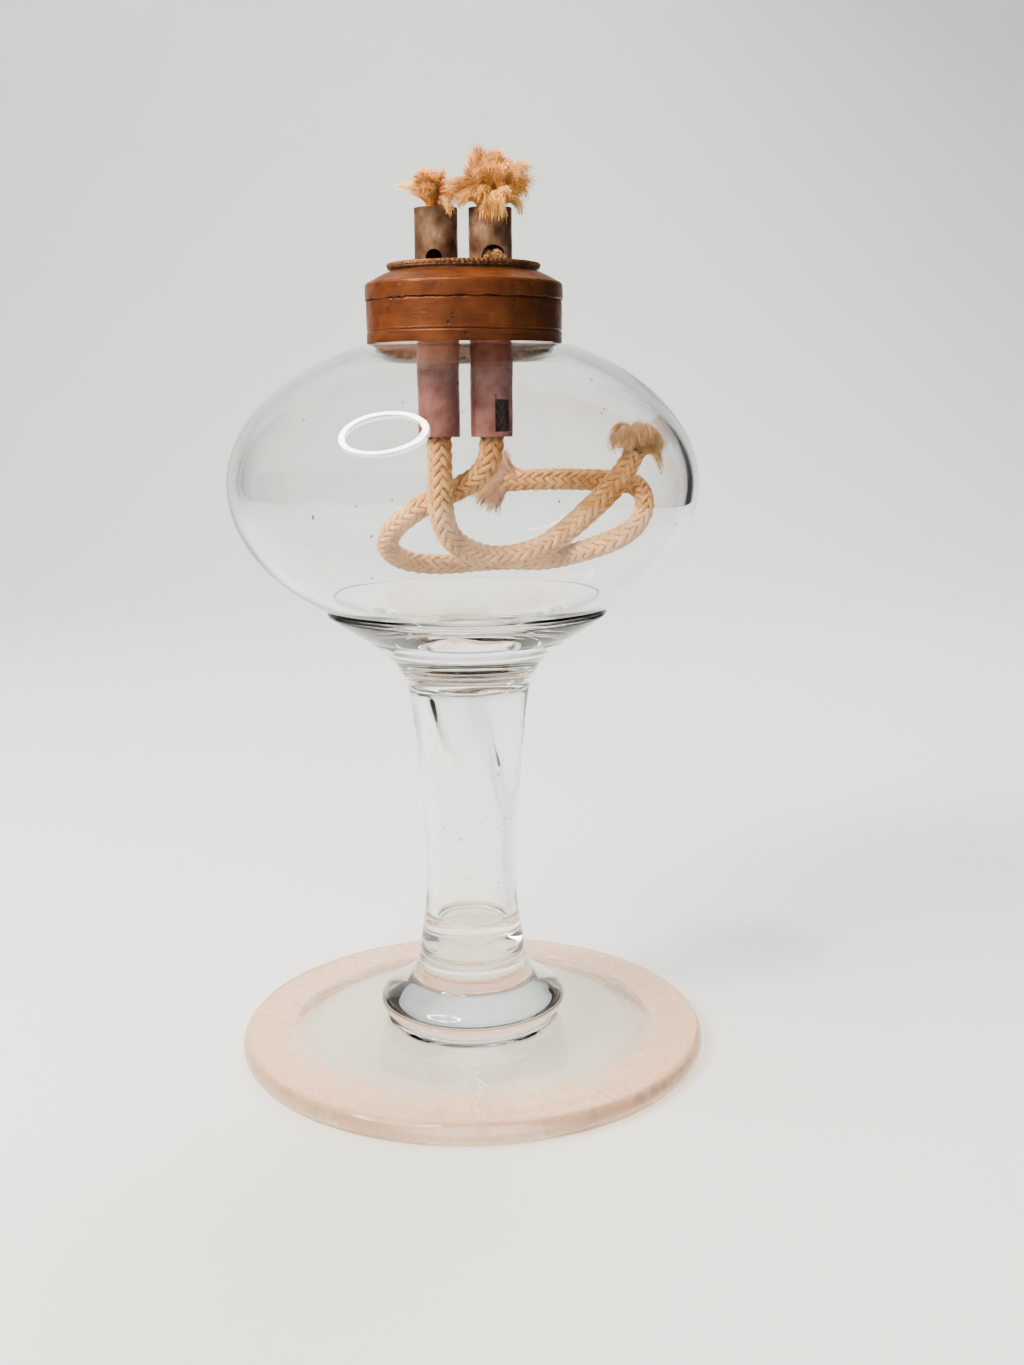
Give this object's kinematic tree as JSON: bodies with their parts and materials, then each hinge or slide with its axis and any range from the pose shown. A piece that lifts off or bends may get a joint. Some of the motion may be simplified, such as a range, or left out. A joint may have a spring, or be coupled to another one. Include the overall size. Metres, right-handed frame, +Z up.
{
  "type": "alcohol burner",
  "caption": "Blown-glass table burner lamp on a foot and hollow stem, with a squat fuel font, a brass screw collar, a twin-tube burner and braided cotton wicks.",
  "frame": {"origin": "centre of the foot's contact ring, on the surface the lamp stands on", "axes": "+Z up along the lamp's axis; +X to the right with the two wick tubes side by side along X; the pick holes face -Y"},
  "size_m": [0.0926, 0.0926, 0.1731],
  "materials": {
    "clear_glass": "hand-blown clear glass, polished by fire, worn under the foot",
    "collar_brass": "old brass with a brown patina, scratches and small dents",
    "tube_brass": "dull grey-brown tarnished brass",
    "solder": "dark dull solder",
    "cement": "rough plaster",
    "washer_leather": "dark oiled leather",
    "cotton": "braided undyed cotton"
  },
  "bodies": {
    "lamp": {"foot": "clear_glass", "foot_wafer": "clear_glass", "stem": "clear_glass", "merese": "clear_glass", "font": "clear_glass", "collar_skirt": "collar_brass", "collar_cap": "collar_brass", "collar_thread_ring": "collar_brass", "collar_cement": "cement", "wick_left_tail": "cotton", "wick_right_tail": "cotton", "wick_left_frayed_end": "cotton", "wick_right_frayed_end": "cotton"},
    "washer": {"sealing_washer": "washer_leather"},
    "burner": {"burner_disc": "collar_brass", "burner_plug": "collar_brass", "wick_tube_left": "tube_brass", "wick_tube_right": "tube_brass", "tube_solder": "solder"},
    "left_wick": {"wick_left": "cotton"},
    "right_wick": {"wick_right": "cotton"}
  },
  "joints": [
    {"name": "burner_lift", "type": "slide", "parent": "lamp", "child": "washer", "axis": [0, 0, 1], "range_m": [0, 0.0048]},
    {"name": "burner_unscrew", "type": "hinge", "parent": "washer", "child": "burner", "pos_m": [0, 0, 0.1512], "axis": [0, 0, 1], "range_deg": [0, 1080]},
    {"name": "wick_left_raise", "type": "slide", "parent": "burner", "child": "left_wick", "axis": [0, 0, 1], "range_m": [0, 0.006], "deforming": ["wick_left_tail"]},
    {"name": "wick_right_raise", "type": "slide", "parent": "burner", "child": "right_wick", "axis": [0, 0, 1], "range_m": [0, 0.006], "deforming": ["wick_right_tail"]}
  ],
  "couplings": [
    {"joint": "burner_unscrew", "follows": "burner_lift", "rad_per_m": 3927}
  ]
}
